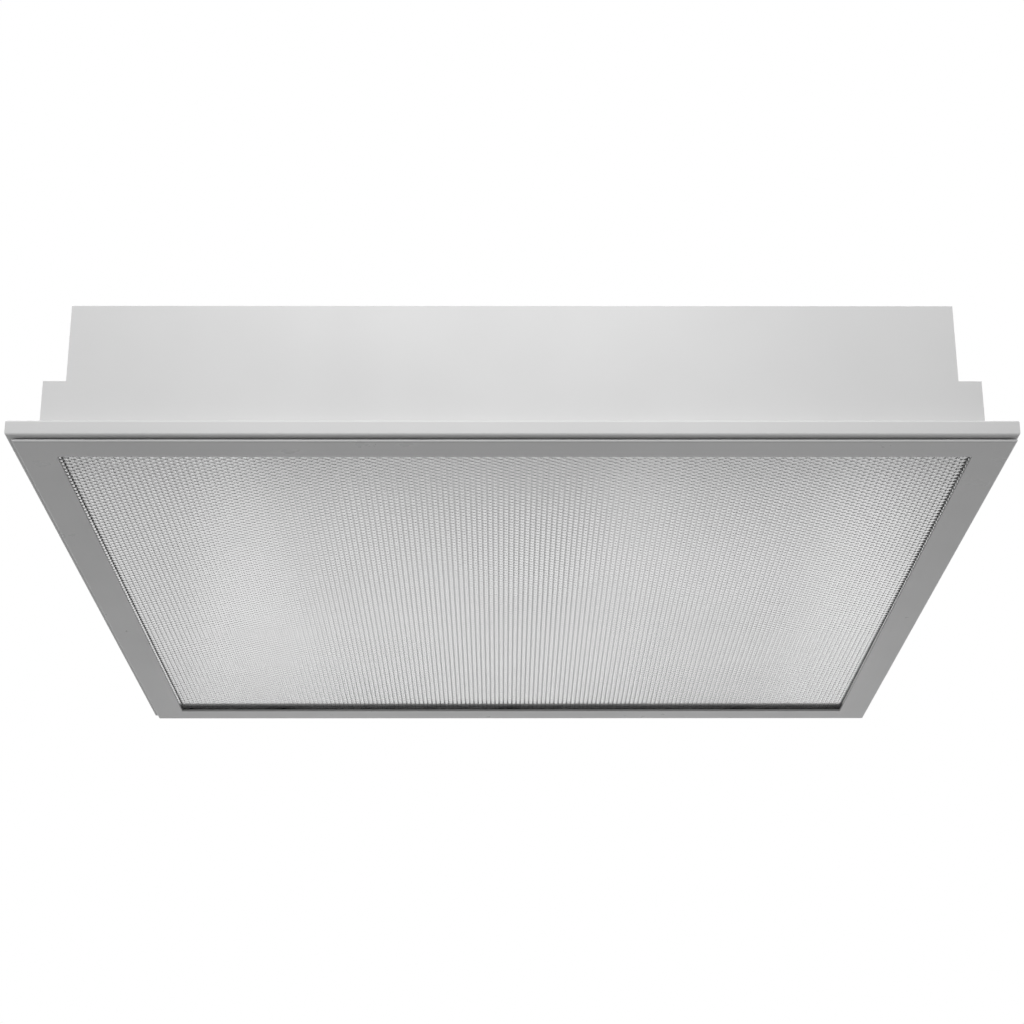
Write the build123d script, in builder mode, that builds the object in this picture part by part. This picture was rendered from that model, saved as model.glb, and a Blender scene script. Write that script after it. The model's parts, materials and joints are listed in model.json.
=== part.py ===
from build123d import *

import math
import os

os.makedirs("parts", exist_ok=True)

# A square recessed ceiling light with a hinged prismatic lens, seen from below.
# The housing is folded sheet steel, stepped on its left and right sides, with a
# channel-shaped flange that covers the edge of the ceiling's cut-out. The lens lies
# in a mitred door frame that hinges down on the +X side. Inside are four slim tubes
# along Y, their lampholders, a white tray and, above the tray, the control gear.
# All sizes are in millimetres. Z is up, and z = 0 is the face of the door.

# ---- Housing and flange ----
module = 595.0  # flange, outside to outside, both ways
door_drop = 3.0  # door face below the underside of the flange
flange_rise = 9.7  # underside of the flange to the ledge that meets the ceiling
shoulder_rise = 39.4  # underside of the flange to the top of the wide lower body
crown_rise = 89.3  # underside of the flange to the top panel
end_ledge = 10.0  # flange beyond each end plate
side_ledge = 17.75  # flange beyond each lower side wall
shoulder_step = 13.75  # upper side wall in from the lower one
sheet = 0.8  # thickness of the housing's steel
bend = 0.9  # bend radius at the middle of the sheet
rim_bend = 1.4  # the same at the flange's lower outer edge

# ---- Door frame and lens ----
gap_latch_side = 3.8  # flange edge to door edge, on the -X side
gap_hinge_side = 1.2  # on the +X side
gap_front = 2.9  # on the -Y side
gap_rear = 2.1  # on the +Y side
door_face = 22.5  # width of the door's visible face
door_leaf = 1.5  # thickness of that face
door_edge_radius = 1.3
upstand_top = 14.0  # height of the door's upright wall above the door face
upstand_wall = 1.2
upstand_gap_x = 1.05  # upright wall to housing wall, on the +X side
upstand_gap_y = 1.2
lens_thickness = 3.0
prism_x = 6.925  # one prism of the lens, across its corners
prism_y = 4.995
prism_depth = 1.35
lens_gap_x = 0.5  # lens edge to upright wall
lens_gap_y = 1.0
corner_plate_inset = 1.5
corner_plate_width = 6.5
corner_plate_arm = 40.0
corner_plate_sheet = 0.8
clip_sheet = 0.5
clip_width = 18.0
clip_tongue = 8.0
clip_spacing = 190.0
clip_leg = 6.0  # how far the clip's outer leg reaches down the upright wall

# ---- Door hinges ----
hinge_y = 180.0
hinge_inset = 2.9  # hinge axis in from the flange's outer edge
hinge_rise = 2.9  # hinge axis above the underside of the flange
pin_radius = 1.0
pin_fit = 0.04
pin_head = 1.0
knuckle_radius = 1.75
knuckle_fixed = 17.4  # length of the housing's knuckle
knuckle_door = 9.0  # length of each of the door's two knuckles
knuckle_gap = 0.3
hinge_plate = 1.0
neck_reach = 4.0  # axis to the middle of the arm's upright plate
arm_foot = 8.5
slot_margin = 0.6
slot_end_gap = 1.5
bracket_foot = 11.0

# ---- Door latches ----
latch_y = 150.0
latch_travel = 8.0
latch_plate = 1.2
latch_gap = 0.1  # sliding gap behind the bolt
bolt_length = 52.0
bolt_low = 5.2
bolt_high = 13.0
stud_radius = 1.5
stud_fit = 0.1
stud_head_radius = 2.8
stud_head = 1.0
stud_spacing = 22.0
hook_stem = 5.0
hook_nose = 7.0
hook_rise = 6.0  # top of the upright wall to the top of the hook
hook_depth = 2.7
keeper_sheet = 1.0
keeper_gap = 0.3  # hook to ledge
keeper_cover = 3.0  # ledge beyond the bolt
keeper_lead = 6.5  # ledge before the notch, along the travel
keeper_height = 14.0
keeper_engagement = 14.5  # ledge beyond the notch, along the travel
keeper_margin = 0.5
tab_width = 8.0
tab_sheet = 1.0
tab_inset = 3.7  # end of the tab in from the door's edge
tab_gap = 0.2

# ---- Lamps and lampholders ----
lamp_pitch = 130.0
lamp_count = 4
lamp_z = 45.0
lamp_end_space = 13.0  # outside of the end plate to the face of the lamp's cap
tube_radius = 8.0
tube_wall = 0.8
cap_length = 12.5
cap_radius = 8.3
contact_radius = 1.15
contact_length = 6.4
contact_spacing = 4.75
holder_gap = 0.3  # cap face to lampholder
holder_depth = 8.7
holder_width = 18.0
holder_top = 13.0  # lamp axis to the top of the lampholder
holder_slot = 3.0
rotor_radius = 5.5
rotor_depth = 6.7
rotor_fit = 0.05
rotor_slot = 2.6
socket_floor = 0.3

# ---- Tray and control gear ----
tray_sheet = 0.6
tray_z = 63.5  # upper face of the tray
tray_flat_margin = 31.0  # outer lamp's axis to the edge of the tray's flat top
tray_mouth_inset = 4.0  # tray's lower bend in from the upper side wall
tray_edge_gap = 1.2  # tray to the lower side wall, clear of its bend
tray_end_gap = 2.2  # tray to the end plate
tray_screw_radius = 1.7
tray_screw_head_radius = 3.5
tray_screw_head = 2.0
tray_screw_pitch = 130.0
tray_screw_count = 4
bracket_sheet = 1.0
bracket_margin = 27.0  # outer lamp's axis to the end of the lampholders' bracket
bracket_drop = 26.0
bracket_foot_depth = 14.5
ballast_size = (40.0, 360.0, 21.0)
ballast_ear = 10.0
ballast_ear_sheet = 1.0
ballast_edge_radius = 2.0
ballast_x = 0.0
connector_size = (30.0, 8.0, 11.0)
connector_lift = 2.5
gear_screw_radius = 2.0
gear_screw_head_radius = 3.6
gear_screw_head = 2.2
gear_screw_tail = 3.0
terminal_size = (50.0, 20.0, 16.0)
terminal_setback = 54.7  # rear end plate to the middle of the terminal block
terminal_poles = 5
terminal_pitch = 9.0
terminal_well_radius = 2.6
terminal_well = 4.0
terminal_screw_radius = 2.2
terminal_screw = 2.6
earth_x = 150.0
hole_clearance = 0.05

# ---- Fixings and cable entries ----
suspension_x = 300.0
suspension_y = 400.0
suspension_radius = 3.5
entry_x = 90.0
entry_drop = 15.3  # entry axis below the top panel
entry_radius = 10.0
grommet_bore = 5.5
grommet_rim = 2.5
grommet_lip = 1.6
plug_cap = 1.5
plug_barrel = 3.0
tab_depth = 12.0  # end plates' folded tabs
top_tab_inset = 66.0  # end of the top tab in from the upper side wall
rivet_radius = 1.6
rivet_head_radius = 3.0
rivet_head = 1.0
rivet_rows = (25.0, 40.0)  # side rivets below the top panel
rivet_pitch = 150.0

# ---- Places worked out from those sizes ----
half_module = module / 2
half_length = half_module - end_ledge
half_shoulder = half_module - side_ledge
half_crown = half_shoulder - shoulder_step
inner_y = half_length - sheet
inner_shoulder = half_shoulder - sheet
inner_crown = half_crown - sheet
flange_z = door_drop
ledge_z = flange_z + flange_rise
shoulder_z = flange_z + shoulder_rise
crown_z = flange_z + crown_rise
shelf_z = shoulder_z - sheet
ceiling_z = crown_z - sheet

door_left = -half_module + gap_latch_side
door_right = half_module - gap_hinge_side
door_front = -half_module + gap_front
door_rear = half_module - gap_rear
upstand_right = inner_shoulder - upstand_gap_x
upstand_left = door_left + door_right - upstand_right
upstand_y = inner_y - upstand_gap_y
upstand_in_right = upstand_right - upstand_wall
upstand_in_left = upstand_left + upstand_wall
upstand_in_y = upstand_y - upstand_wall
lens_right = upstand_in_right - lens_gap_x
lens_left = upstand_in_left + lens_gap_x
lens_half_y = upstand_in_y - lens_gap_y
lens_top = door_leaf + lens_thickness

hinge_x = half_module - hinge_inset
hinge_z = flange_z + hinge_rise
arm_length = knuckle_fixed + 2 * (knuckle_gap + knuckle_door)

tray_bottom = tray_z - tray_sheet
lamp_xs = [(i - (lamp_count - 1) / 2) * lamp_pitch for i in range(lamp_count)]
tray_flat_x = lamp_xs[-1] + tray_flat_margin
tray_mouth_x = half_crown - tray_mouth_inset
lamp_face = half_length - lamp_end_space
holder_face = lamp_face + holder_gap
holder_back = holder_face + holder_depth
gear_y = (ballast_size[1] + ballast_ear) / 2
terminal_y = inner_y - terminal_setback
entry_z = crown_z - entry_drop
ends = {"front": -1, "rear": 1}


def save(piece, label):
    """Name a finished piece and write its file."""
    piece.label = label
    export_step(piece, f"parts/{label}.step")


def both_sides(right_half):
    """A path's points from its right half, listed from the free end inwards."""
    return [(x, z) for x, z in right_half] + [(-x, z) for x, z in reversed(right_half)]


def bent_section(plane, points, radii, thickness):
    """Section of a bent sheet, from the line along the middle of its thickness."""
    with BuildSketch(plane) as section:
        with BuildLine():
            FilletPolyline(*points, radius=radii)
        trace(line_width=thickness)
    return section.sketch


def bent_strip(plane, points, radii, thickness, length):
    """A bent sheet of even section, centred on the plane that its section is drawn on."""
    with BuildPart() as strip:
        extrude(bent_section(plane.offset(-length / 2), points, radii, thickness), length)
    return strip.part


def block(low, high, mode=Mode.ADD):
    """Put a box between two corners into the part that is being built."""
    size = [b - a for a, b in zip(low, high)]
    middle = Vector(*[(a + b) / 2 for a, b in zip(low, high)])
    with Locations(middle):
        Box(*size, mode=mode)


# ---- Housing: pan, end plates and their rivets ----

side_rivets = [
    Plane(origin=(s * half_crown, e * (inner_y - tab_depth / 2), crown_z - row), z_dir=(s, 0, 0))
    for s in (-1, 1)
    for e in (-1, 1)
    for row in rivet_rows
]
top_rivets = [
    Plane(origin=(i * rivet_pitch, e * (inner_y - tab_depth / 2), crown_z), z_dir=(0, 0, 1))
    for i in (-1, 0, 1)
    for e in (-1, 1)
]
rivet_planes = side_rivets + top_rivets
tray_screw_x = (tray_mouth_x + inner_shoulder) / 2
tray_screw_places = [
    (s * tray_screw_x, (i - (tray_screw_count - 1) / 2) * tray_screw_pitch)
    for s in (-1, 1)
    for i in range(tray_screw_count)
]

pan_line = both_sides(
    [
        (half_shoulder - sheet / 2, flange_z),
        (half_shoulder - sheet / 2, shoulder_z - sheet / 2),
        (half_crown - sheet / 2, shoulder_z - sheet / 2),
        (half_crown - sheet / 2, crown_z - sheet / 2),
    ]
)
with BuildPart() as housing_pan:
    add(bent_strip(Plane.XZ, pan_line, bend, sheet, 2 * inner_y))
    with BuildSketch(Plane.XY.offset(crown_z)):
        with GridLocations(suspension_x, suspension_y, 2, 2):
            Circle(suspension_radius)
    extrude(amount=-2 * sheet, mode=Mode.SUBTRACT)
    with BuildSketch(*rivet_planes):
        Circle(rivet_radius + hole_clearance)
    extrude(amount=-2 * sheet, mode=Mode.SUBTRACT)
    with BuildSketch(Plane.XY.offset(shelf_z)):
        with Locations(*tray_screw_places):
            Circle(tray_screw_radius + hole_clearance)
    extrude(amount=2 * sheet, mode=Mode.SUBTRACT)
save(housing_pan.part, "housing_pan")


def end_plate(end, has_entries):
    """Flat end of the housing, with three tabs folded inwards for rivets."""
    outline = both_sides(
        [
            (half_shoulder, flange_z),
            (half_shoulder, shoulder_z),
            (half_crown, shoulder_z),
            (half_crown, crown_z),
        ]
    )
    tab_start = end * (inner_y - tab_depth)
    tab_y = sorted((tab_start, end * inner_y))
    side_top = ceiling_z - 2 * sheet
    with BuildPart() as plate:
        with BuildSketch(Plane.XZ.offset(-end * inner_y)):
            with BuildLine():
                Polyline(*outline, close=True)
            make_face()
        extrude(amount=-end * sheet)
        half_tab = half_crown - top_tab_inset
        block((-half_tab, tab_y[0], ceiling_z - sheet), (half_tab, tab_y[1], ceiling_z))
        for side in (-1, 1):
            tab_x = sorted((side * (inner_crown - sheet), side * inner_crown))
            block((tab_x[0], tab_y[0], shoulder_z), (tab_x[1], tab_y[1], side_top))
        with BuildSketch(*rivet_planes):
            Circle(rivet_radius + hole_clearance)
        extrude(amount=-3 * sheet, mode=Mode.SUBTRACT)
        if has_entries:
            with BuildSketch(Plane.XZ.offset(-end * inner_y)):
                with Locations((entry_x, entry_z), (-entry_x, entry_z)):
                    Circle(entry_radius)
            extrude(amount=-end * sheet, mode=Mode.SUBTRACT)
    return plate.part


save(end_plate(ends["front"], has_entries=False), "front_end_plate")
save(end_plate(ends["rear"], has_entries=True), "rear_end_plate")

with BuildPart() as housing_rivets:
    with BuildSketch(*rivet_planes):
        Circle(rivet_radius)
    extrude(amount=-2 * sheet)
    with BuildSketch(*[plane.offset(-2 * sheet) for plane in rivet_planes]):
        Circle(rivet_head_radius)
    extrude(amount=-rivet_head)
save(housing_rivets.part, "housing_rivets")

# ---- Ceiling flange: four mitred channels round the housing's mouth ----


def flange_line(wall_face):
    """Middle of the channel's sheet: upper leaf, outer rim, lower leaf."""
    return [
        (wall_face, ledge_z - sheet / 2),
        (half_module - sheet / 2, ledge_z - sheet / 2),
        (half_module - sheet / 2, flange_z + sheet / 2),
        (wall_face, flange_z + sheet / 2),
    ]


def flange_rail(plane, wall_face, footprint):
    """One channel, cut to its plan outline at the corners."""
    with BuildPart() as rail:
        add(bent_strip(plane, flange_line(wall_face), (bend, rim_bend), sheet, module))
        with BuildSketch():
            with BuildLine():
                Polyline(*footprint, close=True)
            make_face()
        extrude(amount=crown_z, mode=Mode.INTERSECT)
    return rail.part


rear_footprint = [
    (-half_module, half_module),
    (half_module, half_module),
    (half_length, half_length),
    (-half_length, half_length),
]
side_footprint = [
    (half_module, -half_module),
    (half_module, half_module),
    (half_length, half_length),
    (half_shoulder, half_length),
    (half_shoulder, -half_length),
    (half_length, -half_length),
]
rear_rail = flange_rail(Plane.YZ, half_length, rear_footprint)
side_rail = flange_rail(Plane.XZ, half_shoulder, side_footprint)

with BuildPart() as flange_rear:
    add(rear_rail)
save(flange_rear.part, "flange_rear")

with BuildPart() as flange_front:
    add(mirror(rear_rail, about=Plane.XZ, mode=Mode.PRIVATE))
save(flange_front.part, "flange_front")

with BuildPart() as flange_left:
    add(mirror(side_rail, about=Plane.YZ, mode=Mode.PRIVATE))
save(flange_left.part, "flange_left")

slot_low_x = hinge_x - neck_reach - hinge_plate / 2 - slot_margin
slot_high_x = hinge_x + hinge_plate / 2 + slot_margin
with BuildPart() as flange_right:
    add(side_rail)
    with BuildSketch(Plane.XY.offset(flange_z)):
        with Locations(*[((slot_low_x + slot_high_x) / 2, e * hinge_y) for e in ends.values()]):
            Rectangle(slot_high_x - slot_low_x, arm_length + 2 * slot_end_gap)
    extrude(amount=sheet, mode=Mode.SUBTRACT)
save(flange_right.part, "flange_right")

# ---- Door frame: four mitred rails with an upright wall each ----

tab_end_x = door_left + tab_inset
window_low = -tab_width / 2 - keeper_margin
window_high = tab_width / 2 + latch_travel + keeper_margin
stud_z = (bolt_low + bolt_high) / 2
stud_places = [
    (e * latch_y + side * stud_spacing / 2, stud_z) for e in ends.values() for side in (-1, 1)
]


def door_rail(corners, wall_low, wall_high):
    """A flat leaf with mitred ends and a rolled outer edge, and its upright wall."""
    first, second = corners[:2]
    outer_edge = ((first[0] + second[0]) / 2, (first[1] + second[1]) / 2, 0)
    with BuildPart() as rail:
        with BuildSketch():
            with BuildLine():
                Polyline(*corners, close=True)
            make_face()
        extrude(amount=door_leaf)
        fillet(rail.edges().sort_by_distance(outer_edge)[0], door_edge_radius)
        block((*wall_low, door_leaf), (*wall_high, upstand_top))
    return rail.part


outer = [
    (door_left, door_front),
    (door_right, door_front),
    (door_right, door_rear),
    (door_left, door_rear),
]
inner = [
    (door_left + door_face, door_front + door_face),
    (door_right - door_face, door_front + door_face),
    (door_right - door_face, door_rear - door_face),
    (door_left + door_face, door_rear - door_face),
]
side_wall_front = door_front + door_face
side_wall_rear = door_rear - door_face

save(
    door_rail(
        [outer[0], outer[1], inner[1], inner[0]],
        (upstand_left, -upstand_y),
        (upstand_right, -upstand_in_y),
    ),
    "door_rail_front",
)
save(
    door_rail(
        [outer[2], outer[3], inner[3], inner[2]],
        (upstand_left, upstand_in_y),
        (upstand_right, upstand_y),
    ),
    "door_rail_rear",
)
save(
    door_rail(
        [outer[1], outer[2], inner[2], inner[1]],
        (upstand_in_right, side_wall_front),
        (upstand_right, side_wall_rear),
    ),
    "door_rail_right",
)
left_rail = door_rail(
    [outer[3], outer[0], inner[0], inner[3]],
    (upstand_left, side_wall_front),
    (upstand_in_left, side_wall_rear),
)
with BuildPart() as door_rail_left:
    add(left_rail)
    for end in ends.values():
        y = end * latch_y
        low = (upstand_left, y + window_low, door_leaf)
        high = (upstand_in_left, y + window_high, flange_z)
        block(low, high, mode=Mode.SUBTRACT)
    with BuildSketch(Plane.YZ.offset(upstand_left)):
        with Locations(*stud_places):
            Circle(stud_radius + hole_clearance)
    extrude(amount=upstand_wall, mode=Mode.SUBTRACT)
save(door_rail_left.part, "door_rail_left")

with BuildPart() as door_corner_plates:
    for x, y in outer:
        sx = 1 if x > 0 else -1
        sy = 1 if y > 0 else -1
        near = corner_plate_inset
        wide = near + corner_plate_width
        far = near + corner_plate_arm
        bracket = [(near, near), (far, near), (far, wide), (wide, wide), (wide, far), (near, far)]
        with BuildSketch(Plane.XY.offset(door_leaf)):
            with BuildLine():
                Polyline(*[(x - sx * u, y - sy * v) for u, v in bracket], close=True)
            make_face()
        extrude(amount=corner_plate_sheet)
save(door_corner_plates.part, "door_corner_plates")

# ---- Lens and the spring clips that hold it down ----

# The lens has two sets of V-grooves that cross and leave small pyramids. The solid
# has one of the two sets, because both would give it some 17 000 pyramids.
ridge_angle = math.atan2(prism_y, prism_x)
ridge_pitch = prism_x * prism_y / math.hypot(prism_x, prism_y)
ridge_reach = math.hypot(lens_right, lens_half_y)
ridge_count = math.ceil(ridge_reach / ridge_pitch)
ridge_plane = Plane(
    origin=(0, 0, 0),
    x_dir=(-math.sin(ridge_angle), math.cos(ridge_angle), 0),
    z_dir=(math.cos(ridge_angle), math.sin(ridge_angle), 0),
)
ridge_line = []
for i in range(-ridge_count, ridge_count + 1):
    ridge_line.append((i * ridge_pitch, door_leaf))
    ridge_line.append(((i + 0.5) * ridge_pitch, door_leaf + prism_depth))
ridge_end = (ridge_line[-1][0], lens_top)
ridge_start = (ridge_line[0][0], lens_top)

with BuildPart() as prismatic_lens:
    with BuildSketch(ridge_plane.offset(-ridge_reach)):
        with BuildLine():
            Polyline(*ridge_line, ridge_end, ridge_start, close=True)
        make_face()
    extrude(amount=2 * ridge_reach)
    low = (lens_left, -lens_half_y, door_leaf)
    block(low, (lens_right, lens_half_y, lens_top), mode=Mode.INTERSECT)
    for end in ends.values():
        y = end * latch_y
        low = (lens_left, y + window_low, door_leaf)
        high = (upstand_in_left + latch_gap + latch_plate + lens_gap_x, y + window_high, lens_top)
        block(low, high, mode=Mode.SUBTRACT)
save(prismatic_lens.part, "prismatic_lens")

clip_half = clip_sheet / 2
clip_line = [
    (upstand_y + clip_half, upstand_top - clip_leg),
    (upstand_y + clip_half, upstand_top + clip_half),
    (upstand_in_y - clip_half, upstand_top + clip_half),
    (upstand_in_y - clip_half, lens_top + clip_half),
    (upstand_in_y - clip_half - clip_tongue, lens_top + clip_half),
]
with BuildPart() as lens_clips:
    clip = bent_strip(Plane.YZ, clip_line, 0, clip_sheet, clip_width)
    for i in (-1, 0, 1):
        for turn in (0, 180):
            add(Pos(i * clip_spacing, 0, 0) * Rot(0, 0, turn) * clip)
save(lens_clips.part, "lens_clips")

# ---- Hinges: bracket on the flange, arm on the door, pin ----

arm_top = hinge_plate / 2
arm_far = neck_reach + hinge_plate / 2
arm_near = neck_reach - hinge_plate / 2


def on_hinge_axis(y, radius, length, mode=Mode.ADD):
    """Put a cylinder along the hinge axis into the part that is being built."""
    with Locations(Location((hinge_x, y, hinge_z), (90, 0, 0))):
        Cylinder(radius, length, mode=mode)


for name, end in ends.items():
    y = end * hinge_y
    half_fixed = knuckle_fixed / 2
    half_arm = arm_length / 2
    foot_top = ledge_z - sheet
    with BuildPart() as hinge_bracket:
        on_hinge_axis(y, knuckle_radius, knuckle_fixed)
        block(
            (hinge_x - hinge_plate / 2, y - half_fixed, hinge_z),
            (hinge_x + hinge_plate / 2, y + half_fixed, foot_top),
        )
        block(
            (hinge_x + hinge_plate / 2 - bracket_foot, y - half_fixed, foot_top - hinge_plate),
            (hinge_x + hinge_plate / 2, y + half_fixed, foot_top),
        )
        on_hinge_axis(y, pin_radius + pin_fit, 2 * arm_length, Mode.SUBTRACT)
    save(hinge_bracket.part, f"hinge_bracket_{name}")

    with BuildPart() as hinge_arm:
        for side in (-1, 1):
            middle = y + side * (half_fixed + knuckle_gap + knuckle_door / 2)
            on_hinge_axis(middle, knuckle_radius, knuckle_door)
            block(
                (hinge_x - arm_far, middle - knuckle_door / 2, hinge_z - arm_top),
                (hinge_x, middle + knuckle_door / 2, hinge_z + arm_top),
            )
        block(
            (hinge_x - arm_far, y - half_arm, door_leaf),
            (hinge_x - arm_near, y + half_arm, hinge_z + arm_top),
        )
        block(
            (hinge_x - arm_far - arm_foot, y - half_arm, door_leaf),
            (hinge_x - arm_near, y + half_arm, door_leaf + hinge_plate),
        )
        on_hinge_axis(y, pin_radius + pin_fit, 2 * arm_length, Mode.SUBTRACT)
    save(hinge_arm.part, f"hinge_arm_{name}")

    with BuildPart(Plane(origin=(hinge_x, y - half_arm, hinge_z), z_dir=(0, 1, 0))) as hinge_pin:
        Cylinder(pin_radius, arm_length, align=(Align.CENTER, Align.CENTER, Align.MIN))
        Cylinder(knuckle_radius, pin_head, align=(Align.CENTER, Align.CENTER, Align.MAX))
    save(hinge_pin.part, f"hinge_pin_{name}")

# ---- Latches: sliding bolt on the door, keeper on the housing ----

bolt_x = upstand_in_left + latch_gap
bolt_end_x = bolt_x + latch_plate
hook_top = upstand_top + hook_rise
ledge_top = hook_top - hook_depth - keeper_gap
ledge_tip_x = bolt_end_x + keeper_cover
notch_low = -hook_stem / 2 - keeper_margin
notch_high = hook_stem / 2 + latch_travel + keeper_margin
keeper_far = notch_high + keeper_engagement
keeper_near = notch_low - keeper_lead
slot_length = latch_travel + 2 * (stud_radius + stud_fit)

for name, end in ends.items():
    y = end * latch_y
    with BuildPart() as latch_bolt:
        half_bolt = bolt_length / 2
        block((bolt_x, y - half_bolt, bolt_low), (bolt_end_x, y + half_bolt, bolt_high))
        half_stem = hook_stem / 2
        block((bolt_x, y - half_stem, bolt_high), (bolt_end_x, y + half_stem, hook_top))
        nose_end = y + half_stem + hook_nose
        block((bolt_x, y + half_stem, hook_top - hook_depth), (bolt_end_x, nose_end, hook_top))
        half_tab = tab_width / 2
        tab_low = door_leaf + tab_gap
        block((bolt_x, y - half_tab, tab_low), (bolt_end_x, y + half_tab, bolt_low))
        block((tab_end_x, y - half_tab, tab_low), (bolt_x, y + half_tab, tab_low + tab_sheet))
        with BuildSketch(Plane.YZ.offset(bolt_x)):
            for side in (-1, 1):
                stud = y + side * stud_spacing / 2
                with Locations((stud - latch_travel / 2, stud_z)):
                    SlotOverall(slot_length, 2 * (stud_radius + stud_fit))
        extrude(amount=latch_plate, mode=Mode.SUBTRACT)
    save(latch_bolt.part, f"latch_bolt_{name}")

    with BuildPart() as latch_keeper:
        wall_x = -inner_shoulder
        ledge_low = ledge_top - keeper_sheet
        block(
            (wall_x, y + keeper_near, ledge_low),
            (wall_x + keeper_sheet, y + keeper_far, ledge_low + keeper_height),
        )
        block(
            (wall_x, y + keeper_near, ledge_low),
            (ledge_tip_x, y + keeper_far, ledge_top),
        )
        block(
            (bolt_x - keeper_sheet, y + notch_low, ledge_low),
            (ledge_tip_x, y + notch_high, ledge_top),
            mode=Mode.SUBTRACT,
        )
    save(latch_keeper.part, f"latch_keeper_{name}")

with BuildPart() as latch_studs:
    with BuildSketch(Plane.YZ.offset(upstand_left)):
        with Locations(*stud_places):
            Circle(stud_radius)
    extrude(amount=upstand_wall + latch_plate + 2 * latch_gap)
    with BuildSketch(Plane.YZ.offset(bolt_end_x + latch_gap)):
        with Locations(*stud_places):
            Circle(stud_head_radius)
    extrude(amount=stud_head)
save(latch_studs.part, "latch_studs")

# ---- Tray, its screws and the brackets that carry the lampholders ----

flange_mid = shelf_z - tray_sheet / 2
ballast_holes = [(ballast_x, -gear_y), (ballast_x, gear_y)]
gear_holes = [*ballast_holes, (earth_x, terminal_y)]
tray_line = both_sides(
    [
        (inner_shoulder - tray_edge_gap, flange_mid),
        (tray_mouth_x, flange_mid),
        (tray_flat_x, tray_z - tray_sheet / 2),
    ]
)
with BuildPart() as reflector_tray:
    add(bent_strip(Plane.XZ, tray_line, bend, tray_sheet, 2 * (inner_y - tray_end_gap)))
    with BuildSketch(Plane.XY.offset(shelf_z)):
        with Locations(*tray_screw_places):
            Circle(tray_screw_radius + hole_clearance)
    extrude(amount=-tray_sheet, mode=Mode.SUBTRACT)
    with BuildSketch(Plane.XY.offset(tray_z)):
        with Locations(*gear_holes):
            Circle(gear_screw_radius + hole_clearance)
    extrude(amount=-tray_sheet, mode=Mode.SUBTRACT)
save(reflector_tray.part, "reflector_tray")

with BuildPart() as tray_screws:
    with BuildSketch(Plane.XY.offset(shelf_z - tray_sheet - tray_screw_head)):
        with Locations(*tray_screw_places):
            Circle(tray_screw_head_radius)
    extrude(amount=tray_screw_head)
    chamfer(faces().group_by(Axis.Z)[0].edges(), tray_screw_head / 4)
    with BuildSketch(Plane.XY.offset(shelf_z - tray_sheet)):
        with Locations(*tray_screw_places):
            Circle(tray_screw_radius)
    extrude(amount=tray_sheet + sheet)
save(tray_screws.part, "tray_screws")

for name, end in ends.items():
    with BuildPart() as lampholder_bracket:
        upright = sorted((end * holder_back, end * (holder_back + bracket_sheet)))
        foot = sorted(
            (
                end * (holder_back + bracket_sheet - bracket_foot_depth),
                end * (holder_back + bracket_sheet),
            )
        )
        half = lamp_xs[-1] + bracket_margin
        bottom = tray_bottom - bracket_drop
        block((-half, upright[0], bottom), (half, upright[1], tray_bottom))
        block((-half, foot[0], tray_bottom - bracket_sheet), (half, foot[1], tray_bottom))
    save(lampholder_bracket.part, f"lampholder_bracket_{name}")


def lampholder(x, end):
    """A tombstone lampholder: round bottom, blind round socket and an entry slot."""
    face = Plane.XZ.offset(-end * holder_face)
    socket = rotor_depth + socket_floor
    with BuildPart() as holder:
        with BuildSketch(face):
            with Locations((x, lamp_z)):
                Circle(holder_width / 2)
            with Locations((x, lamp_z + holder_top / 2)):
                Rectangle(holder_width, holder_top)
        extrude(amount=-end * holder_depth)
        with BuildSketch(face):
            with Locations((x, lamp_z)):
                Circle(rotor_radius + rotor_fit)
            with Locations((x, lamp_z - holder_width / 4)):
                Rectangle(holder_slot, holder_width / 2)
        extrude(amount=-end * socket, mode=Mode.SUBTRACT)
    return holder.part


def lamp_piece(x, end, start, radius, length):
    """A cylinder on one lamp's axis, growing outwards from start."""
    origin = (x, end * start, lamp_z)
    with BuildPart(Plane(origin=origin, z_dir=(0, end, 0))) as piece:
        Cylinder(radius, length, align=(Align.CENTER, Align.CENTER, Align.MIN))
    return piece.part


for number, x in enumerate(lamp_xs, start=1):
    for name, end in ends.items():
        save(lampholder(x, end), f"lampholder_{name}_{number}")

    tube_half = lamp_face - cap_length
    with BuildPart(Plane(origin=(x, 0, lamp_z), z_dir=(0, 1, 0))) as lamp_tube:
        Cylinder(tube_radius, 2 * tube_half)
        Cylinder(tube_radius - tube_wall, 2 * tube_half, mode=Mode.SUBTRACT)
    save(lamp_tube.part, f"lamp_tube_{number}")

    with BuildPart() as lamp_caps:
        for end in ends.values():
            add(lamp_piece(x, end, tube_half, cap_radius, cap_length))
            for side in (-1, 1):
                place = x + side * contact_spacing / 2
                add(lamp_piece(place, end, lamp_face, contact_radius, contact_length))
    save(lamp_caps.part, f"lamp_caps_{number}")

    with BuildPart() as socket_rotors:
        for end in ends.values():
            add(lamp_piece(x, end, holder_face, rotor_radius, rotor_depth))
            slot_y = sorted((end * holder_face, end * (holder_face + rotor_depth - socket_floor)))
            low = (x - rotor_radius, slot_y[0], lamp_z - rotor_slot / 2)
            high = (x + rotor_radius, slot_y[1], lamp_z + rotor_slot / 2)
            block(low, high, mode=Mode.SUBTRACT)
    save(socket_rotors.part, f"socket_rotors_{number}")

# ---- Control gear on top of the tray ----

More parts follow.
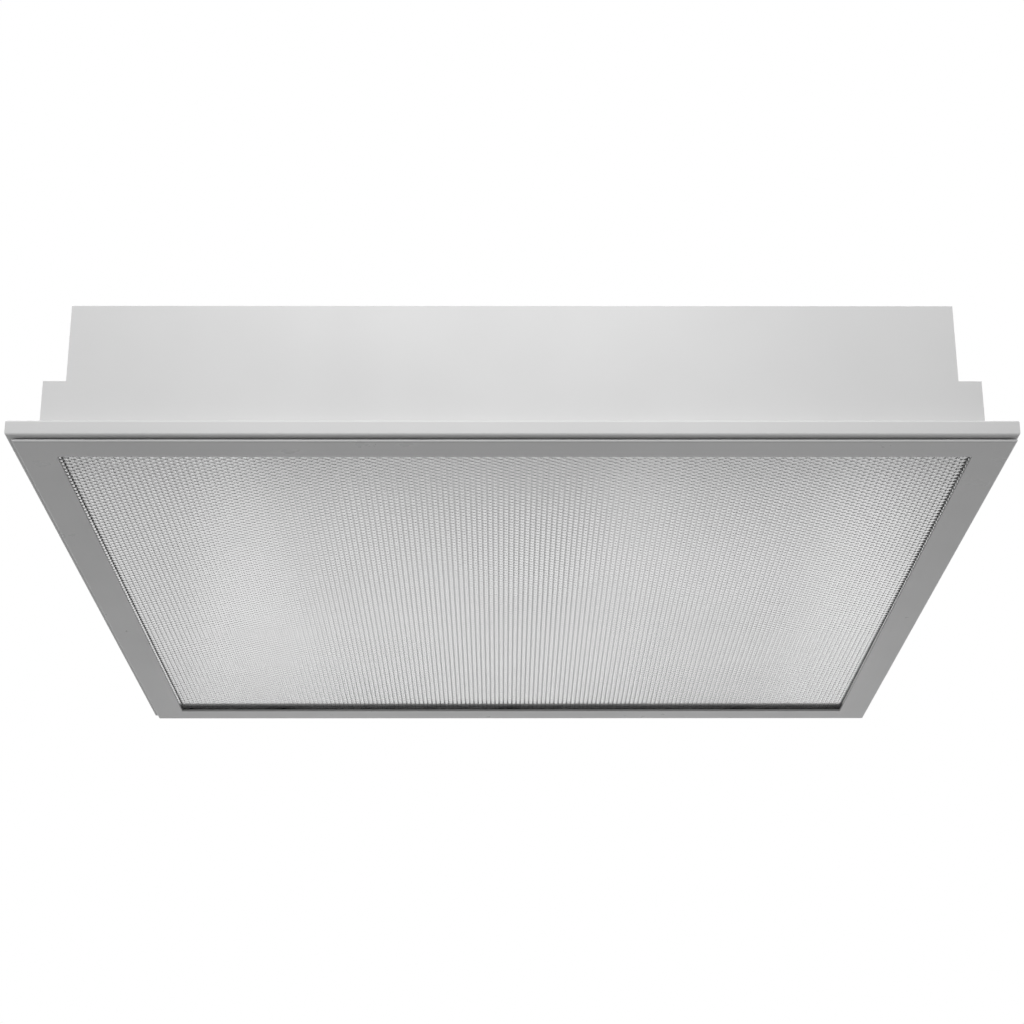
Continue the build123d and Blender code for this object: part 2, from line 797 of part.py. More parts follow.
width, length, height = ballast_size
with BuildPart(Plane((ballast_x, 0, tray_z))) as ballast_case:
    Box(width, length, height, align=(Align.CENTER, Align.CENTER, Align.MIN))
    fillet(edges().filter_by(Axis.Y).group_by(Axis.Z)[-1], ballast_edge_radius)
    ear_length = length + 2 * ballast_ear
    Box(width, ear_length, ballast_ear_sheet, align=(Align.CENTER, Align.CENTER, Align.MIN))
    with BuildSketch(Plane.XY.offset(tray_z)):
        with Locations(*ballast_holes):
            Circle(gear_screw_radius + hole_clearance)
    extrude(amount=ballast_ear_sheet, mode=Mode.SUBTRACT)
save(ballast_case.part, "ballast_case")

with BuildPart() as ballast_connectors:
    for end in ends.values():
        low_y, high_y = sorted((end * length / 2, end * (length / 2 + connector_size[1])))
        bottom = tray_z + ballast_ear_sheet + gear_screw_head + connector_lift
        half = connector_size[0] / 2
        low = (ballast_x - half, low_y, bottom)
        high = (ballast_x + half, high_y, bottom + connector_size[2])
        block(low, high)
save(ballast_connectors.part, "ballast_connectors")


def gear_screw(x, y, seat):
    """A pan-head screw through the tray, its head resting at the height seat."""
    tail = tray_bottom - gear_screw_tail
    with BuildPart(Plane((x, y, seat))) as screw:
        Cylinder(gear_screw_head_radius, gear_screw_head, align=(Align.CENTER, Align.CENTER, Align.MIN))
        chamfer(faces().sort_by(Axis.Z)[-1].edges(), gear_screw_head / 3)
        Cylinder(gear_screw_radius, seat - tail, align=(Align.CENTER, Align.CENTER, Align.MAX))
    return screw.part


with BuildPart() as ballast_screws:
    for x, y in ballast_holes:
        add(gear_screw(x, y, tray_z + ballast_ear_sheet))
save(ballast_screws.part, "ballast_screws")

with BuildPart() as earth_screw:
    add(gear_screw(earth_x, terminal_y, tray_z))
save(earth_screw.part, "earth_screw")

terminal_top = tray_z + terminal_size[2]
well_places = [
    (entry_x + (i - (terminal_poles - 1) / 2) * terminal_pitch, terminal_y)
    for i in range(terminal_poles)
]
with BuildPart(Plane((entry_x, terminal_y, tray_z))) as mains_terminal_block:
    Box(*terminal_size, align=(Align.CENTER, Align.CENTER, Align.MIN))
    with BuildSketch(Plane.XY.offset(terminal_top)):
        with Locations(*well_places):
            Circle(terminal_well_radius)
    extrude(amount=-terminal_well, mode=Mode.SUBTRACT)
save(mains_terminal_block.part, "mains_terminal_block")

with BuildPart() as terminal_screws:
    with BuildSketch(Plane.XY.offset(terminal_top - terminal_well)):
        with Locations(*well_places):
            Circle(terminal_screw_radius)
    extrude(amount=terminal_screw)
save(terminal_screws.part, "terminal_screws")

# ---- Cable entry: grommet, and a plug in the spare hole ----

outer_rim = entry_radius + grommet_rim
grommet_length = sheet + 2 * grommet_lip
with BuildPart(Plane(origin=(entry_x, inner_y, entry_z), z_dir=(0, 1, 0))) as cable_grommet:
    Cylinder(outer_rim, grommet_lip, align=(Align.CENTER, Align.CENTER, Align.MAX))
    Cylinder(entry_radius, sheet, align=(Align.CENTER, Align.CENTER, Align.MIN))
    with Locations((0, 0, sheet)):
        Cylinder(outer_rim, grommet_lip, align=(Align.CENTER, Align.CENTER, Align.MIN))
    Cylinder(grommet_bore, 2 * grommet_length, mode=Mode.SUBTRACT)
save(cable_grommet.part, "cable_grommet")

with BuildPart(Plane(origin=(-entry_x, half_length, entry_z), z_dir=(0, 1, 0))) as blanking_plug:
    Cylinder(outer_rim, plug_cap, align=(Align.CENTER, Align.CENTER, Align.MIN))
    chamfer(faces().sort_by(Axis.Y)[-1].edges(), plug_cap / 2)
    plug_radius = entry_radius - hole_clearance
    Cylinder(plug_radius, plug_barrel, align=(Align.CENTER, Align.CENTER, Align.MAX))
save(blanking_plug.part, "blanking_plug")
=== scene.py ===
import json
import math

import bmesh
import bpy
from mathutils import Matrix, Vector


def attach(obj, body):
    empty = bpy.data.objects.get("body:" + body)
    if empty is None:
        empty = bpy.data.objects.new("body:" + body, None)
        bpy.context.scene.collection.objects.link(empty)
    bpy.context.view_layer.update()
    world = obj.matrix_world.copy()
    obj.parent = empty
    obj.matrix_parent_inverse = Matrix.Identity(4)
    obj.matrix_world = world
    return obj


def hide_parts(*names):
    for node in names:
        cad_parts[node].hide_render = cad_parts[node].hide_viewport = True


# A square recessed ceiling light with a prismatic lens, dressed for rendering.
# Pieces are drawn in millimetres, in the frame of the CAD model. Lamps, floor and camera are
# in metres.

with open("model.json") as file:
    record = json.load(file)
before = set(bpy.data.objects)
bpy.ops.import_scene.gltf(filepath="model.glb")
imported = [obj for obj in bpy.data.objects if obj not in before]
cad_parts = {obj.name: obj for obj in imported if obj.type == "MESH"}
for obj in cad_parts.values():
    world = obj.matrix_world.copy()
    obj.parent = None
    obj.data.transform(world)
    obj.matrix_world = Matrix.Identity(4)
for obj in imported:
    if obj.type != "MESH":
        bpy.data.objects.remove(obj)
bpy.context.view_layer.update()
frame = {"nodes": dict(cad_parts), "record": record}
nodes = frame["nodes"]
MM = 0.001


def box(node):
    """Low and high corner of a CAD node at rest, in millimetres."""
    obj = nodes[node]
    places = [obj.matrix_world @ v.co / MM for v in obj.data.vertices]
    return [Vector([pick(p[i] for p in places) for i in range(3)]) for pick in (min, max)]


def middle(node):
    low, high = box(node)
    return (low + high) / 2


def placed(name, data):
    """A new object in the scene."""
    obj = bpy.data.objects.new(name, data)
    bpy.context.scene.collection.objects.link(obj)
    return obj


# ---------------------------------------------------------------- materials

materials = {}


def new_material(name):
    mat = bpy.data.materials.new(name)
    mat.use_nodes = True
    materials[name] = mat
    return mat.node_tree, mat.node_tree.nodes["Principled BSDF"]


def noise(nt, scale, detail, rough=0.5, stretch=(1, 1, 1)):
    """Noise in object space, its scale per metre."""
    coord = nt.nodes.new("ShaderNodeTexCoord")
    mapping = nt.nodes.new("ShaderNodeMapping")
    mapping.inputs["Scale"].default_value = stretch
    nt.links.new(coord.outputs["Object"], mapping.inputs["Vector"])
    tex = nt.nodes.new("ShaderNodeTexNoise")
    tex.inputs["Scale"].default_value = scale
    tex.inputs["Detail"].default_value = detail
    tex.inputs["Roughness"].default_value = rough
    nt.links.new(mapping.outputs["Vector"], tex.inputs["Vector"])
    return tex.outputs["Fac"]


def ramp(nt, source, low, high):
    """Two colours, blended over the middle of a noise's range."""
    node = nt.nodes.new("ShaderNodeValToRGB")
    for element, place, shade in zip(node.color_ramp.elements, (0.35, 0.65), (low, high)):
        element.position = place
        element.color = (*shade, 1)
    nt.links.new(source, node.inputs["Fac"])
    return node.outputs["Color"]


def span(nt, source, low, high):
    """The middle of a noise's range, stretched from low to high."""
    node = nt.nodes.new("ShaderNodeMapRange")
    node.inputs["From Min"].default_value = 0.3
    node.inputs["From Max"].default_value = 0.7
    node.inputs["To Min"].default_value = low
    node.inputs["To Max"].default_value = high
    nt.links.new(source, node.inputs["Value"])
    return node.outputs["Result"]


def grey(value, warm=0.0):
    return (value * (1 + warm), value, value * (1 - warm))


def colour(nt, bsdf, source, tone, vary, warm=0.0):
    """Base colour that drifts a little round one tone."""
    tones = ramp(nt, source, grey(tone * (1 - vary), warm), grey(tone * (1 + vary), warm))
    nt.links.new(tones, bsdf.inputs["Base Color"])


def roughness(nt, bsdf, source, rough, vary):
    level = span(nt, source, rough * (1 - vary), rough * (1 + vary))
    nt.links.new(level, bsdf.inputs["Roughness"])


def bump(nt, bsdf, height, depth):
    node = nt.nodes.new("ShaderNodeBump")
    node.inputs["Distance"].default_value = depth
    nt.links.new(height, node.inputs["Height"])
    nt.links.new(node.outputs["Normal"], bsdf.inputs["Normal"])


GRAIN_DEPTH = 0.00001


def coated(name, tone, rough, peel=0.000008, peel_scale=900, warm=0.0):
    """Paint or moulded plastic: slow tone drift, uneven gloss, fine skin."""
    nt, bsdf = new_material(name)
    colour(nt, bsdf, noise(nt, 9.0, 2.0), tone, 0.02, warm)
    roughness(nt, bsdf, noise(nt, 40.0, 4.0), rough, 0.10)
    bump(nt, bsdf, noise(nt, peel_scale, 2.0), peel)


def metal(name, tone, rough, stretch, scale, warm=0.0):
    """Bare or plated metal with a fine grain, drawn out where the stretch is uneven."""
    nt, bsdf = new_material(name)
    grain = noise(nt, scale, 4.0, 0.6, stretch)
    colour(nt, bsdf, grain, tone, 0.08, warm)
    roughness(nt, bsdf, noise(nt, 60.0, 3.0), rough, 0.25)
    bump(nt, bsdf, grain, GRAIN_DEPTH)
    bsdf.inputs["Metallic"].default_value = 1.0


def acrylic(name, tone, rough):
    """Clear sheet whose faintly uneven gloss blurs what lies behind it."""
    nt, bsdf = new_material(name)
    fine = noise(nt, 300.0, 3.0)
    colour(nt, bsdf, noise(nt, 6.0, 2.0), tone, 0.015)
    roughness(nt, bsdf, fine, rough, 0.15)
    bump(nt, bsdf, fine, GRAIN_DEPTH)
    bsdf.inputs["IOR"].default_value = 1.49
    bsdf.inputs["Transmission Weight"].default_value = 1.0


EVEN = (1, 1, 1)
coated("white_paint", 0.70, 0.42)
coated("door_paint", 0.70, 0.30)
coated("tray_paint", 0.80, 0.30)
acrylic("prismatic_acrylic", 0.92, 0.09)
metal("zinc_steel", 0.62, 0.34, EVEN, scale=220, warm=-0.01)
metal("spring_steel", 0.50, 0.26, (1, 1, 8), scale=500)
metal("fastener_steel", 0.66, 0.30, EVEN, scale=700, warm=0.01)
coated("white_plastic", 0.78, 0.36, peel_scale=1500, warm=0.01)
coated("rotor_plastic", 0.62, 0.40, peel_scale=1500, warm=0.02)
coated("phosphor_glass", 0.86, 0.12, peel=0.000002, warm=0.01)
metal("cap_aluminium", 0.80, 0.32, (1, 6, 1), scale=700)
coated("ballast_steel", 0.55, 0.35, warm=-0.01)
coated("grommet_rubber", 0.035, 0.60, peel=0.00004)

for part in frame["record"]["subparts"]:
    obj = nodes[part["node"]]
    for s in obj.material_slots:
        s.material = materials[part["material_slot"]]
    if not obj.material_slots:
        obj.data.materials.append(materials[part["material_slot"]])

# ---------------------------------------------------------------- lens

LENS_LOW, LENS_HIGH = box("prismatic_lens")
PRISM_X = 6.925  # one prism, across its corners
PRISM_Y = 4.995
PRISM_DEPTH = 1.35

# notches in the left edge that let the latches through, longer on the side they slide to
LATCH_Y = 150
NOTCH_X = -272.3
NOTCH_BEFORE = 4.5
NOTCH_BEYOND = 12.5
NOTCHES = [(side * LATCH_Y - NOTCH_BEFORE, side * LATCH_Y + NOTCH_BEYOND) for side in (-1, 1)]
NOTCH_STRIP = 5.0  # how far in from the notches the sheet is cut across
CUT_NEAR = 1e-7  # metres: a cut this close to a vertex goes through it


def prism_field(bm):
    """Pyramids side by side: tips where i + j is even, groove crossings where it is odd."""
    crossings = {}

    def point(i, j, z):
        return bm.verts.new((i * PRISM_X / 2 * MM, j * PRISM_Y / 2 * MM, z * MM))

    def crossing(i, j):
        if (i, j) not in crossings:
            crossings[i, j] = point(i, j, LENS_LOW.z + PRISM_DEPTH)
        return crossings[i, j]

    nx = int(LENS_HIGH.x / PRISM_X * 2) + 3
    ny = int(LENS_HIGH.y / PRISM_Y * 2) + 3
    for i in range(-nx, nx + 1):
        for j in range(-ny, ny + 1):
            if (i + j) % 2:
                continue
            tip = point(i, j, LENS_LOW.z)
            ring = [crossing(i + a, j + b) for a, b in ((1, 0), (0, 1), (-1, 0), (0, -1))]
            for a in range(4):
                bm.faces.new((tip, ring[(a + 1) % 4], ring[a]))


def cut(bm, faces, place, normal, trim=False):
    """Cut faces along a plane, and with trim drop what lies beyond it."""
    geom = list(dict.fromkeys(x for f in faces for x in (*f.verts, *f.edges, f)))
    bmesh.ops.bisect_plane(
        bm, geom=geom, plane_co=Vector(place) * MM, plane_no=normal, clear_outer=trim, dist=CUT_NEAR
    )


def prismatic_lens():
    bm = bmesh.new()
    prism_field(bm)
    for place, normal in (
        ((LENS_HIGH.x, 0, 0), (1, 0, 0)),
        ((LENS_LOW.x, 0, 0), (-1, 0, 0)),
        ((0, LENS_HIGH.y, 0), (0, 1, 0)),
        ((0, LENS_LOW.y, 0), (0, -1, 0)),
    ):
        cut(bm, bm.faces[:], place, normal, trim=True)

    notch_cuts = [((NOTCH_X, 0, 0), (1, 0, 0))]
    notch_cuts += [((0, y, 0), (0, 1, 0)) for pair in NOTCHES for y in pair]
    for place, normal in notch_cuts:
        strip = (NOTCH_X + NOTCH_STRIP) * MM
        cut(bm, [f for f in bm.faces if f.calc_center_median().x < strip], place, normal)
    gone = []
    for f in bm.faces:
        c = f.calc_center_median() / MM
        if c.x < NOTCH_X and any(a < c.y < b for a, b in NOTCHES):
            gone.append(f)
    bmesh.ops.delete(bm, geom=gone, context="FACES")

    # walls up from the outline, then the flat top
    top_z = LENS_HIGH.z * MM
    rim = [e for e in bm.edges if len(e.link_faces) == 1]
    walls = bmesh.ops.extrude_edge_only(bm, edges=rim)
    for raised in walls["geom"]:
        if isinstance(raised, bmesh.types.BMVert):
            raised.co.z = top_z
    top = [e for e in bm.edges if all(abs(v.co.z - top_z) < CUT_NEAR for v in e.verts)]
    bmesh.ops.contextual_create(bm, geom=top)
    bmesh.ops.recalc_face_normals(bm, faces=bm.faces[:])

    mesh = bpy.data.meshes.new("prism_sheet")
    bm.to_mesh(mesh)
    bm.free()
    mesh.materials.append(materials["prismatic_acrylic"])
    return placed("prism_sheet", mesh)


sheet = prismatic_lens()
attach(sheet, "door")
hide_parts("prismatic_lens")

# ---------------------------------------------------------------- turned and pressed pieces


CREASE = math.radians(32)  # faces that meet at less than this are shaded smooth


def piece(name, bm, slot, body, node):
    """Finish a mesh drawn in millimetres as a piece that stands for one CAD node."""
    bmesh.ops.remove_doubles(bm, verts=bm.verts[:], dist=1e-4)
    bmesh.ops.recalc_face_normals(bm, faces=bm.faces[:])
    bmesh.ops.scale(bm, vec=(MM, MM, MM), verts=bm.verts[:])
    mesh = bpy.data.meshes.new(name)
    bm.to_mesh(mesh)
    bm.free()
    mesh.materials.append(materials[slot])
    mesh.shade_smooth()
    mesh.set_sharp_from_angle(angle=CREASE)
    obj = placed(name, mesh)
    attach(obj, body)
    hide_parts(node)


def axes(direction):
    """A direction, and two more at right angles to it and to each other."""
    n = Vector(direction).normalized()
    u = n.orthogonal().normalized()
    return n, u, n.cross(u)


def turned(bm, origin, direction, profile, segments, closed=False, dent=None):
    """A turned shape. Its profile is (radius, height along the direction), in millimetres."""
    n, u, v = axes(direction)
    origin = Vector(origin)
    rings = []
    for radius, height in profile:
        ring = []
        for k in range(1 if radius == 0 else segments):
            a = 2 * math.pi * k / segments
            r = radius - (dent(a, height) if dent else 0)
            outward = u * math.cos(a) + v * math.sin(a)
            ring.append(bm.verts.new(origin + n * height + outward * r))
        rings.append(ring)
    pairs = list(zip(rings, rings[1:]))
    if closed:
        pairs.append((rings[-1], rings[0]))
    for lower, upper in pairs:
        for k in range(segments):
            a, b = lower[k % len(lower)], lower[(k + 1) % len(lower)]
            c, d = upper[(k + 1) % len(upper)], upper[k % len(upper)]
            # a ring on the axis is a single vertex, so it gives triangles or nothing
            corners = list(dict.fromkeys((a, b, c, d)))
            if len(corners) > 2:
                bm.faces.new(corners)


# how far each wall of a recess slopes
CROSS_FLANK = 0.15
CROSS_END = 0.3
SLOT_WALL = 0.12


def slope(inside, run):
    """0 outside an edge, 1 once well inside it, and a straight slope between."""
    return min(max(inside / run, 0), 1)


def cross(x, y, reach, half):
    """Depth share of a cross recess at a point, 1 on its floor."""
    x, y = abs(x), abs(y)
    arm = slope(half - y, CROSS_FLANK) * slope(reach - x, CROSS_END)
    other = slope(half - x, CROSS_FLANK) * slope(reach - y, CROSS_END)
    return max(arm, other)


def blade(x, y, reach, half):
    """The same for a straight slot."""
    return slope(half - abs(y), SLOT_WALL) * slope(reach - abs(x), SLOT_WALL)


HEAD_RINGS = 26
SCREW_SIDES = 72
DOME_FALL = 0.55  # shares of the head's height
RIM_HEIGHT = 0.30
DOME_POWER = 3.2
THREAD_PITCH = 0.7
THREAD_START = 0.1
THREAD_ROOT = 0.84  # shares of the shank's radius
SHANK_TIP = 0.9
ROOT_AT = 0.55  # share of one turn


def screw(bm, seat, direction, head_radius, head, shank_radius, shank, recess, reach, half, depth):
    """A screw: domed head with a driving recess, and a threaded shank behind its seat."""
    n, u, v = axes(direction)
    seat = Vector(seat)
    angles = [2 * math.pi * k / SCREW_SIDES for k in range(SCREW_SIDES)]
    rings = []
    for i in range(HEAD_RINGS + 1):
        share = i / HEAD_RINGS
        dome = head * (1 - DOME_FALL * share**DOME_POWER) if share < 1 else head * RIM_HEIGHT
        ring = []
        for a in angles:
            x, y = head_radius * share * math.cos(a), head_radius * share * math.sin(a)
            rise = dome - depth * recess(x, y, reach, half)
            ring.append(bm.verts.new(seat + u * x + v * y + n * rise))
        rings.append(ring)
    rings.append(
        [bm.verts.new(seat + (u * math.cos(a) + v * math.sin(a)) * head_radius) for a in angles]
    )
    for lower, upper in zip(rings, rings[1:]):
        for k in range(SCREW_SIDES):
            j = (k + 1) % SCREW_SIDES
            bm.faces.new((lower[k], lower[j], upper[j], upper[k]))

    # seat, then a crest and a root for each turn of the thread, then the blunt tip
    under = [(head_radius, 0)]
    turns = int(shank / THREAD_PITCH)
    for i in range(turns):
        lead = shank / turns
        under.append((shank_radius, -i * lead - THREAD_START))
        under.append((shank_radius * THREAD_ROOT, -(i + ROOT_AT) * lead))
    if turns:
        under.append((shank_radius * SHANK_TIP, -shank))
    under.append((0, -shank))
    turned(bm, seat, direction, under, segments=SCREW_SIDES)


DOWN, UP, REARWARD = (0, 0, -1), (0, 0, 1), (0, 1, 0)
TRAY_UNDERSIDE, TRAY_TOP = (corner.z for corner in box("reflector_tray"))

TRAY_SCREW = dict(head_radius=3.5, head=2.0, shank_radius=1.7, shank=1.4)
TRAY_SCREW.update(recess=cross, reach=1.9, half=0.42, depth=1.1)
TRAY_SCREW_X = 270.475
TRAY_SCREW_PITCH = 130
bm = bmesh.new()
for side in (-1, 1):
    for i in range(4):
        place = (side * TRAY_SCREW_X, (i - 1.5) * TRAY_SCREW_PITCH, TRAY_UNDERSIDE)
        screw(bm, place, DOWN, **TRAY_SCREW)
piece("tray_screw_set", bm, "fastener_steel", "housing", "tray_screws")

PAN_SCREW = dict(head_radius=3.6, head=2.2, shank_radius=2.0)
PAN_SCREW.update(recess=cross, reach=2.0, half=0.45, depth=1.2)
FOOT = 1.0  # sheet of the ballast's feet
FOOT_SCREW_INSET = 5.0
ballast_end = box("ballast_case")[1].y
bm = bmesh.new()
for side in (-1, 1):
    place = (0, side * (ballast_end - FOOT_SCREW_INSET), TRAY_TOP + FOOT)
    screw(bm, place, UP, shank=3.6 + FOOT, **PAN_SCREW)
piece("ballast_screw_set", bm, "fastener_steel", "housing", "ballast_screws")

earth = middle("earth_screw")
bm = bmesh.new()
screw(bm, (earth.x, earth.y, TRAY_TOP), UP, shank=3.6, **PAN_SCREW)
piece("earth_screw_set", bm, "fastener_steel", "housing", "earth_screw")

WAY_SCREW = dict(head_radius=2.2, head=2.6, shank_radius=1.2, shank=0.0)
WAY_SCREW.update(recess=blade, reach=1.9, half=0.3, depth=0.9)
WAY_PITCH = 9
terminal = middle("mains_terminal_block")
well_floor = box("terminal_screws")[0].z
bm = bmesh.new()
for i in range(5):
    screw(bm, (terminal.x + (i - 2) * WAY_PITCH, terminal.y, well_floor), UP, **WAY_SCREW)
piece("terminal_screw_set", bm, "fastener_steel", "housing", "terminal_screws")

# pull rivets: a dimpled end outside, a set head inside
RIVET = [(0, -0.5), (0.7, -0.5), (0.85, -0.12), (1.35, 0), (1.6, -0.2), (1.6, -1.6)]
RIVET += [(3.0, -1.6), (3.0, -2.1), (2.4, -2.5), (0, -2.6)]
RIVET_SIDES = 32
RIVET_INSET = 6.0  # from the end plates' inner faces
RIVET_ROWS = (25.0, 40.0)  # below the top panel
RIVET_PITCH = 150
upper_wall = box("housing_rivets")[1].x
plate_inside, crown = box("housing_pan")[1].yz
bm = bmesh.new()
for end in (-1, 1):
    y = end * (plate_inside - RIVET_INSET)
    for side in (-1, 1):
        for row in RIVET_ROWS:
            place = (side * upper_wall, y, crown - row)
            turned(bm, place, (side, 0, 0), RIVET, segments=RIVET_SIDES)
    for i in (-1, 0, 1):
        turned(bm, (i * RIVET_PITCH, y, crown), UP, RIVET, segments=RIVET_SIDES)
piece("pull_rivets", bm, "fastener_steel", "housing", "housing_rivets")

# lamp caps, from the end of the glass outwards, each with two contacts
CAP_R = 8.3
CRIMP_AT = 7.0
CAP = [(0, 0), (7.9, 0), (8.25, 0.15), (CAP_R, 0.5), (CAP_R, 1.5)]
CAP += [(8.05, 1.8), (8.05, 2.3), (CAP_R, 2.6)]
CAP += [(CAP_R, CRIMP_AT + 0.5 * k) for k in range(-2, 3)]
CAP += [(CAP_R, 11.3), (8.1, 12.0), (7.4, 12.3), (5.4, 12.3), (5.2, 12.5), (0, 12.5)]
CONTACT = [(0, 12.3), (1.15, 12.3), (1.15, 17.6), (0.95, 18.4), (0.6, 18.85)]
CONTACT += [(0.35, 18.9), (0.3, 18.4), (0, 18.4)]
CONTACT_X = 2.375


def crimp(angle, height):
    """Four small punch marks round a lamp's cap."""
    near = max(0, 1 - abs(height - CRIMP_AT))
    turn = (angle / (math.pi / 2) + 0.5) % 1 - 0.5
    return 0.35 * near * max(0, 1 - abs(turn) / 0.09)


for number in range(1, 5):
    lamp = middle("lamp_tube_%d" % number)
    glass_end = box("lamp_tube_%d" % number)[1].y
    bm = bmesh.new()
    for end in (-1, 1):
        outwards = (0, end, 0)
        place = (lamp.x, end * glass_end, lamp.z)
        turned(bm, place, outwards, CAP, segments=72, dent=crimp)
        for side in (-1, 1):
            place = (lamp.x + side * CONTACT_X, end * glass_end, lamp.z)
            turned(bm, place, outwards, CONTACT, segments=20)
    body, node = "lamp_%d" % number, "lamp_caps_%d" % number
    piece("crimped_caps_%d" % number, bm, "cap_aluminium", body, node)

# both sit in the rear end plate: the grommet round its cable, the plug in the spare hole
ENTRY_SIDES = 72
GROMMET = [(5.5, -1.1), (5.9, -1.6), (11.5, -1.6), (12.3, -1.2), (12.5, -0.6), (12.3, 0)]
GROMMET += [(10, 0), (10, 0.8), (12.3, 0.8), (12.5, 1.3), (12.3, 1.9), (11.5, 2.4)]
GROMMET += [(7.6, 2.4), (7.3, 2.1), (6.7, 2.1), (6.4, 2.4), (5.9, 2.4), (5.5, 1.9)]
entry = middle("cable_grommet")
bm = bmesh.new()
place = (entry.x, plate_inside, entry.z)
turned(bm, place, REARWARD, GROMMET, closed=True, segments=ENTRY_SIDES)
piece("lipped_grommet", bm, "grommet_rubber", "housing", "cable_grommet")

PLUG = [(0, 1.0), (8.6, 1.0), (9.2, 1.45), (9.6, 1.5), (11.5, 1.5), (12.2, 1.1), (12.5, 0.4)]
PLUG += [(12.4, 0), (9.9, 0), (9.9, -1.2), (9.5, -1.4), (9.95, -2.2), (9.3, -3.0)]
PLUG += [(8.3, -3.0), (8.3, -0.5), (0, -0.5)]
spare = middle("blanking_plug")
plate_outside = box("rear_end_plate")[1].y
bm = bmesh.new()
turned(bm, (spare.x, plate_outside, spare.z), REARWARD, PLUG, segments=ENTRY_SIDES)
piece("dished_plug", bm, "white_plastic", "housing", "blanking_plug")

# ---------------------------------------------------------------- softened edges


FLAT = math.radians(1)
SHARP = math.radians(50)


def softened(node, slot, body, width):
    """The CAD node's shape with sharp edges rounded, as moulding and pressing leave them."""
    source = nodes[node]
    bm = bmesh.new()
    bm.from_mesh(source.data)
    bm.transform(source.matrix_world)
    bmesh.ops.scale(bm, vec=(1 / MM, 1 / MM, 1 / MM), verts=bm.verts[:])
    bmesh.ops.remove_doubles(bm, verts=bm.verts[:], dist=1e-3)
    bmesh.ops.dissolve_limit(bm, angle_limit=FLAT, verts=bm.verts[:], edges=bm.edges[:])
    joined = [e for e in bm.edges if len(e.link_faces) == 2]
    bmesh.ops.bevel(
        bm,
        geom=[e for e in joined if e.calc_face_angle() > SHARP],
        offset=width,
        offset_type="OFFSET",
        segments=2,
        profile=0.5,
        affect="EDGES",
        clamp_overlap=True,
    )
    piece(node + "_softened", bm, slot, body, node)


for name in ("front", "rear"):
    for number in range(1, 5):
        softened("lampholder_%s_%d" % (name, number), "white_plastic", "housing", 0.5)
    softened("lampholder_bracket_%s" % name, "tray_paint", "housing", 0.2)
    softened("latch_keeper_%s" % name, "zinc_steel", "housing", 0.15)
    softened("latch_bolt_%s" % name, "zinc_steel", "%s_latch" % name, 0.15)
softened("ballast_case", "ballast_steel", "housing", 0.25)
softened("ballast_connectors", "white_plastic", "housing", 0.6)
softened("mains_terminal_block", "white_plastic", "housing", 0.5)

# ---------------------------------------------------------------- world and floor

WORLD_LIGHT = 0.33
WORLD_SEEN = 1.0
FLOOR_GLOW = 0.10
FLOOR_TONES = (0.71, 0.74)
FLOOR_HALF = 14.0
FLOOR_Z = -1.9


def seen_level(nt, unseen, seen):
    """One strength for what is seen, mirrored or looked through, another for the light given."""
    rays = nt.nodes.new("ShaderNodeLightPath")
    source = rays.outputs["Is Camera Ray"]
    for name in ("Is Glossy Ray", "Is Transmission Ray"):
        either = nt.nodes.new("ShaderNodeMath")
        either.operation = "MAXIMUM"
        nt.links.new(source, either.inputs[0])
        nt.links.new(rays.outputs[name], either.inputs[1])
        source = either.outputs[0]
    level = nt.nodes.new("ShaderNodeMapRange")
    level.inputs["To Min"].default_value = unseen
    level.inputs["To Max"].default_value = seen
    nt.links.new(source, level.inputs["Value"])
    return level.outputs["Result"]


def studio_world():
    world = bpy.data.worlds.new("studio")
    world.use_nodes = True
    nt = world.node_tree
    nt.nodes.clear()
    back = nt.nodes.new("ShaderNodeBackground")
    back.inputs["Color"].default_value = (1, 1, 1, 1)
    nt.links.new(seen_level(nt, WORLD_LIGHT, WORLD_SEEN), back.inputs["Strength"])
    out = nt.nodes.new("ShaderNodeOutputWorld")
    nt.links.new(back.outputs["Background"], out.inputs["Surface"])
    return world


def floor_piece():
    nt, bsdf = new_material("floor_white")
    tones = ramp(nt, noise(nt, 3.0, 3.0), *(grey(tone) for tone in FLOOR_TONES))
    nt.links.new(tones, bsdf.inputs["Base Color"])
    nt.links.new(tones, bsdf.inputs["Emission Color"])
    nt.links.new(seen_level(nt, 0.0, FLOOR_GLOW), bsdf.inputs["Emission Strength"])
    bsdf.inputs["Roughness"].default_value = 0.8

    mesh = bpy.data.meshes.new("floor")
    signs = ((-1, -1), (1, -1), (1, 1), (-1, 1))
    corners = [(x * FLOOR_HALF, y * FLOOR_HALF, FLOOR_Z) for x, y in signs]
    mesh.from_pydata(corners, [], [range(4)])
    mesh.materials.append(materials["floor_white"])
    return placed("floor", mesh)


bpy.context.scene.world = studio_world()
floor_piece()

# ---------------------------------------------------------------- lamps


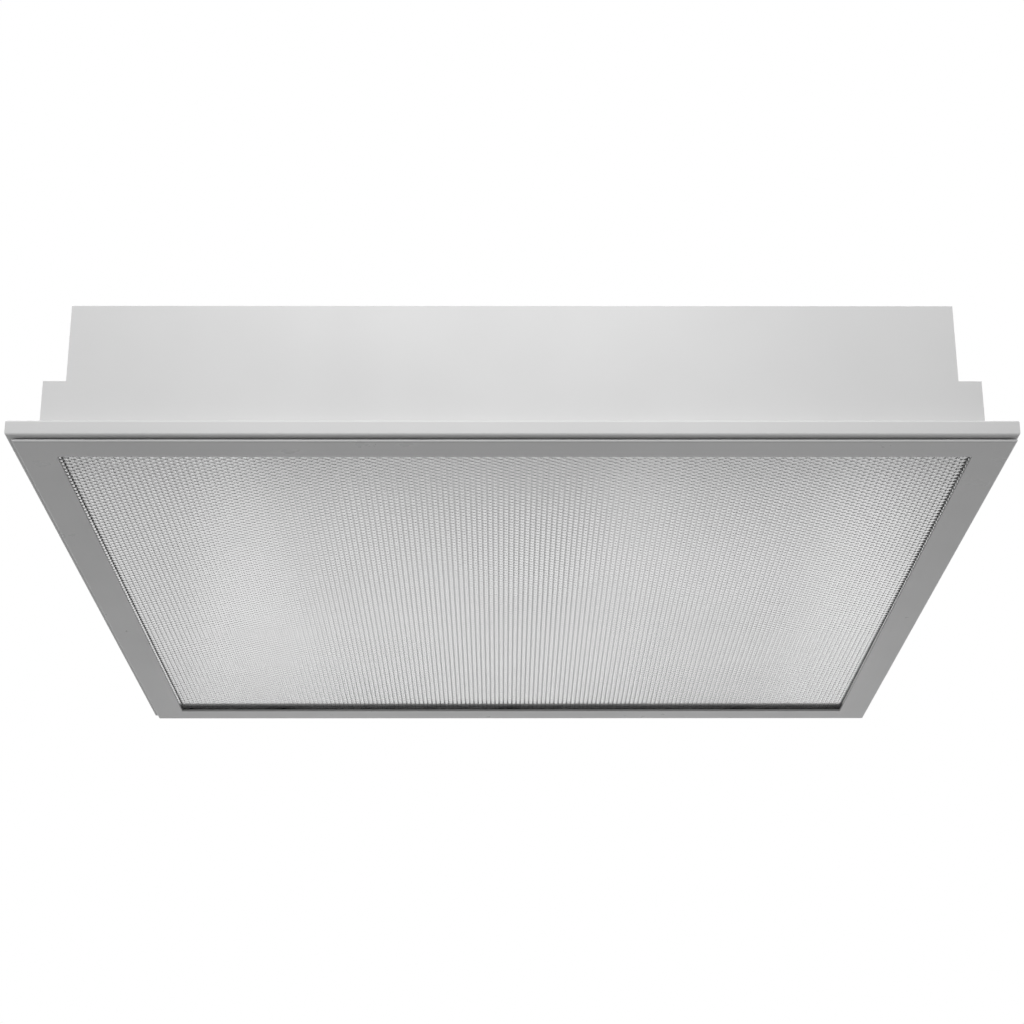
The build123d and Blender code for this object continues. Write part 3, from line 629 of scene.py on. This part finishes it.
def area_lamp(name, place, target, size, power):
    """A rectangular lamp, sizes in metres and power in watts, that the camera doesn't see."""
    data = bpy.data.lights.new(name, "AREA")
    data.shape = "RECTANGLE"
    data.size, data.size_y = size
    data.energy = power
    obj = placed(name, data)
    obj.location = place
    aim = Vector(target) - Vector(place)
    obj.rotation_mode = "QUATERNION"
    obj.rotation_quaternion = aim.to_track_quat("-Z", "Y")
    obj.visible_camera = False
    return obj


# The key lights the front faces. It stays out of reflections, or the top panel glares.
key = area_lamp(
    "front_key", place=(-0.04, -0.86, 0.42), target=(-0.03, -0.28, 0.05), size=(0.5, 0.4), power=3.9
)
key.visible_glossy = False
area_lamp("top_fill", place=(0.4, 0.3, 2.4), target=(0, 0, 0), size=(2.4, 2.4), power=22)

# What the prisms mirror toward the camera lies low behind the light: a wide even lamp, and a
# narrower one that draws the ribs in the middle.
BACK_Z = -0.78
for name, x, y, size, power in (
    ("back_low", 0.375, 2.6, (3.05, 0.8), 2.1),
    ("back_mid", 0.10, 2.55, (1.4, 0.7), 0.85),
):
    area_lamp(name, (x, y, BACK_Z), (x, 0, BACK_Z), size, power)

# ---------------------------------------------------------------- camera

# fitted to the corners of the flange, door and body in the photograph
YAW, PITCH, ROLL = math.radians(0.288), math.radians(21.299), math.radians(-0.106)
CAMERA_PLACE = (-0.0065, -1.4672, -0.5012)
FOCAL_PX = 2175.3
FRAME_PX = 1024
SENSOR = 36.0

cam_data = bpy.data.cameras.new("camera")
cam_data.sensor_width = SENSOR
cam_data.lens = FOCAL_PX / FRAME_PX * SENSOR
cam_data.clip_start = 0.01
cam_data.clip_end = 100
cam = placed("camera", cam_data)
bpy.context.scene.camera = cam
ahead = Vector((math.sin(YAW) * math.cos(PITCH), math.cos(YAW) * math.cos(PITCH), math.sin(PITCH)))
level_right = Vector((math.cos(YAW), -math.sin(YAW), 0))
level_up = level_right.cross(ahead)
right = level_right * math.cos(ROLL) + level_up * math.sin(ROLL)
up = level_up * math.cos(ROLL) - level_right * math.sin(ROLL)
turn = Matrix((right, up, -ahead)).transposed().to_4x4()
cam.matrix_world = Matrix.Translation(CAMERA_PLACE) @ turn

view = bpy.context.scene.view_settings
view.view_transform = "Standard"

bpy.context.view_layer.update()
